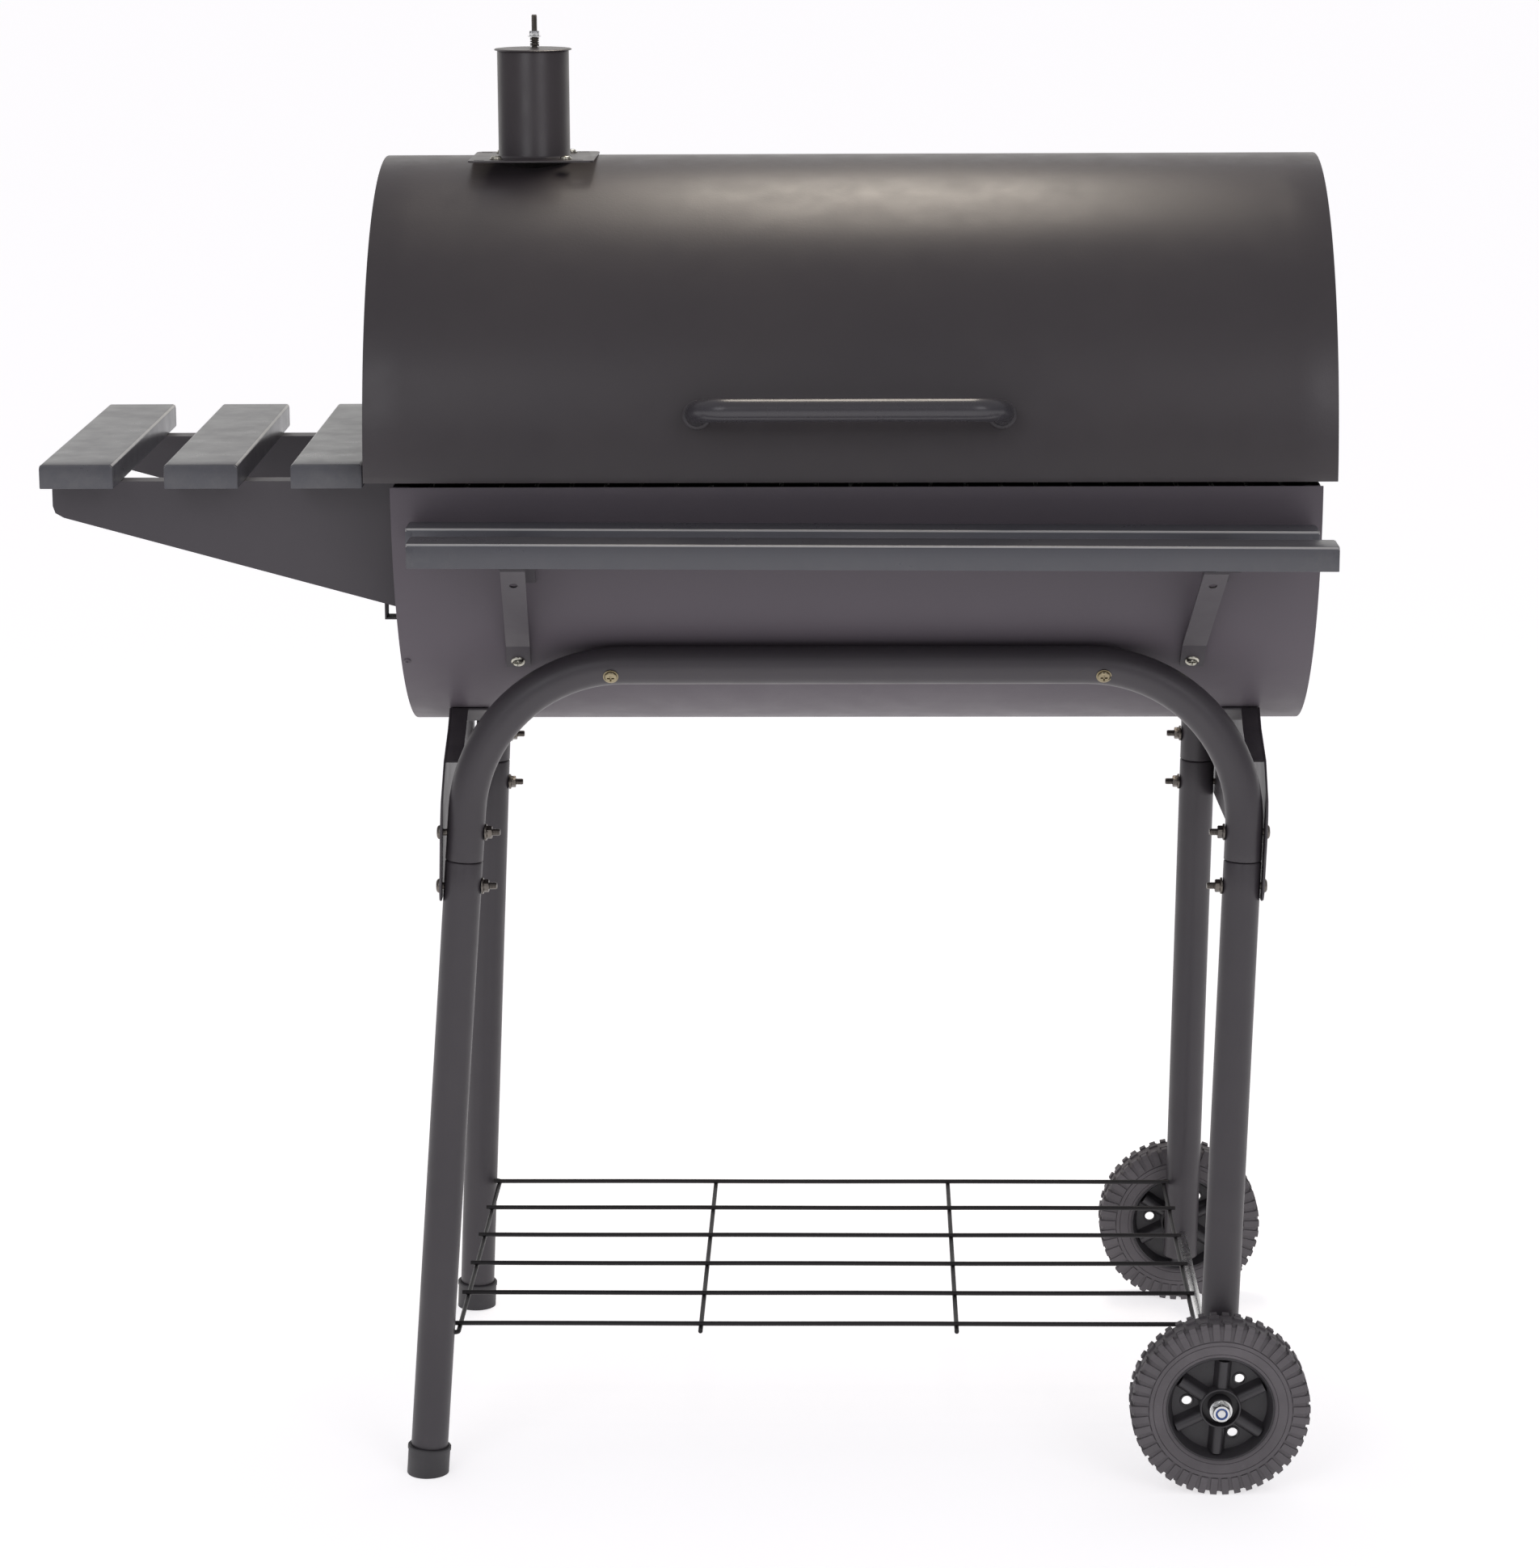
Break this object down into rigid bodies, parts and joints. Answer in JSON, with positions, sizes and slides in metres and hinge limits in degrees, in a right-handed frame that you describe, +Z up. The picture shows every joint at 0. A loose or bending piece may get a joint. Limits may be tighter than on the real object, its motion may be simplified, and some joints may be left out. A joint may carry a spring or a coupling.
{
  "type": "barrel charcoal grill",
  "caption": "Barrel charcoal grill on a bent-tube stand with a hinged lid, chimney, side and front slat shelves, wire shelf and wheels at one end.",
  "frame": {"origin": "centre of the bounding box's bottom face, on the ground", "axes": "+Z up, front with the handle and front shelf towards -Y, wheels towards +X, side shelf towards -X"},
  "size_m": [1.073, 0.6468, 1.2325],
  "materials": {
    "satin_black_paint": "satin, slightly grained heat-resistant paint",
    "slat_paint": "satin paint, slightly bluish",
    "black_plastic": "matte moulded plastic",
    "tyre": "matte moulded plastic with tread blocks",
    "zinc": "bright zinc plating",
    "black_screw": "blackened steel",
    "grate_steel": "dark coated steel wire"
  },
  "bodies": {
    "stand": {"axle": "zinc", "barrel_end_left": "satin_black_paint", "barrel_end_right": "satin_black_paint", "barrel_shell": "satin_black_paint", "charcoal_grate": "grate_steel", "cooking_grate_left": "grate_steel", "cooking_grate_right": "grate_steel", "front_arm_left": "satin_black_paint", "front_arm_right": "satin_black_paint", "front_axle_nut": "zinc", "front_foot_cap": "black_plastic", "front_grate_rest": "satin_black_paint", "front_left_leg": "satin_black_paint", "front_leg_frame": "satin_black_paint", "front_right_leg": "satin_black_paint", "front_slat_inner": "slat_paint", "front_slat_outer": "slat_paint", "front_strut_left": "satin_black_paint", "front_strut_right": "satin_black_paint", "hinge_base_left": "satin_black_paint", "hinge_base_right": "satin_black_paint", "left_end_brace": "satin_black_paint", "rear_axle_nut": "zinc", "rear_foot_cap": "black_plastic", "rear_grate_rest": "satin_black_paint", "rear_left_leg": "satin_black_paint", "rear_leg_frame": "satin_black_paint", "rear_right_leg": "satin_black_paint", "right_end_brace": "satin_black_paint", "side_bracket_front": "satin_black_paint", "side_bracket_rear": "satin_black_paint", "side_slat_inner": "slat_paint", "side_slat_middle": "slat_paint", "side_slat_outer": "slat_paint", "splice_bolt_front_left_lower": "black_screw", "splice_bolt_front_left_upper": "black_screw", "splice_bolt_front_right_lower": "black_screw", "splice_bolt_front_right_upper": "black_screw", "splice_bolt_rear_left_lower": "black_screw", "splice_bolt_rear_left_upper": "black_screw", "splice_bolt_rear_right_lower": "black_screw", "splice_bolt_rear_right_upper": "black_screw", "vent_guide": "satin_black_paint", "wire_shelf": "satin_black_paint"},
    "lid": {"lid_shell": "satin_black_paint", "lid_end_left": "satin_black_paint", "lid_end_right": "satin_black_paint", "lid_handle": "satin_black_paint", "chimney": "satin_black_paint", "damper_bolt": "black_screw", "damper_spring": "black_screw", "damper_nut": "zinc", "hinge_leaf_left": "satin_black_paint", "hinge_leaf_right": "satin_black_paint"},
    "cap": {"chimney_cap": "satin_black_paint"},
    "front_wheel": {"front_tyre": "tyre", "front_hub": "black_plastic"},
    "rear_wheel": {"rear_tyre": "tyre", "rear_hub": "black_plastic"},
    "shutter": {"vent_shutter": "satin_black_paint"}
  },
  "joints": [
    {"name": "lid_hinge", "type": "hinge", "parent": "stand", "child": "lid", "pos_m": [0.143, 0.29109, 0.863], "axis": [-1, 0, 0], "range_deg": [0, 95]},
    {"name": "cap_swivel", "type": "hinge", "parent": "lid", "child": "cap", "pos_m": [-0.131, 0.03009, 1.2038], "axis": [0, 0, 1], "continuous": true},
    {"name": "front_wheel_spin", "type": "hinge", "parent": "stand", "child": "front_wheel", "pos_m": [0.4515, -0.21923, 0.0762], "axis": [0, 1, 0], "continuous": true},
    {"name": "rear_wheel_spin", "type": "hinge", "parent": "stand", "child": "rear_wheel", "pos_m": [0.4515, 0.29341, 0.0762], "axis": [0, 1, 0], "continuous": true},
    {"name": "vent_slide", "type": "slide", "parent": "stand", "child": "shutter", "axis": [0, 1, 0], "range_m": [0, 0.07]}
  ]
}
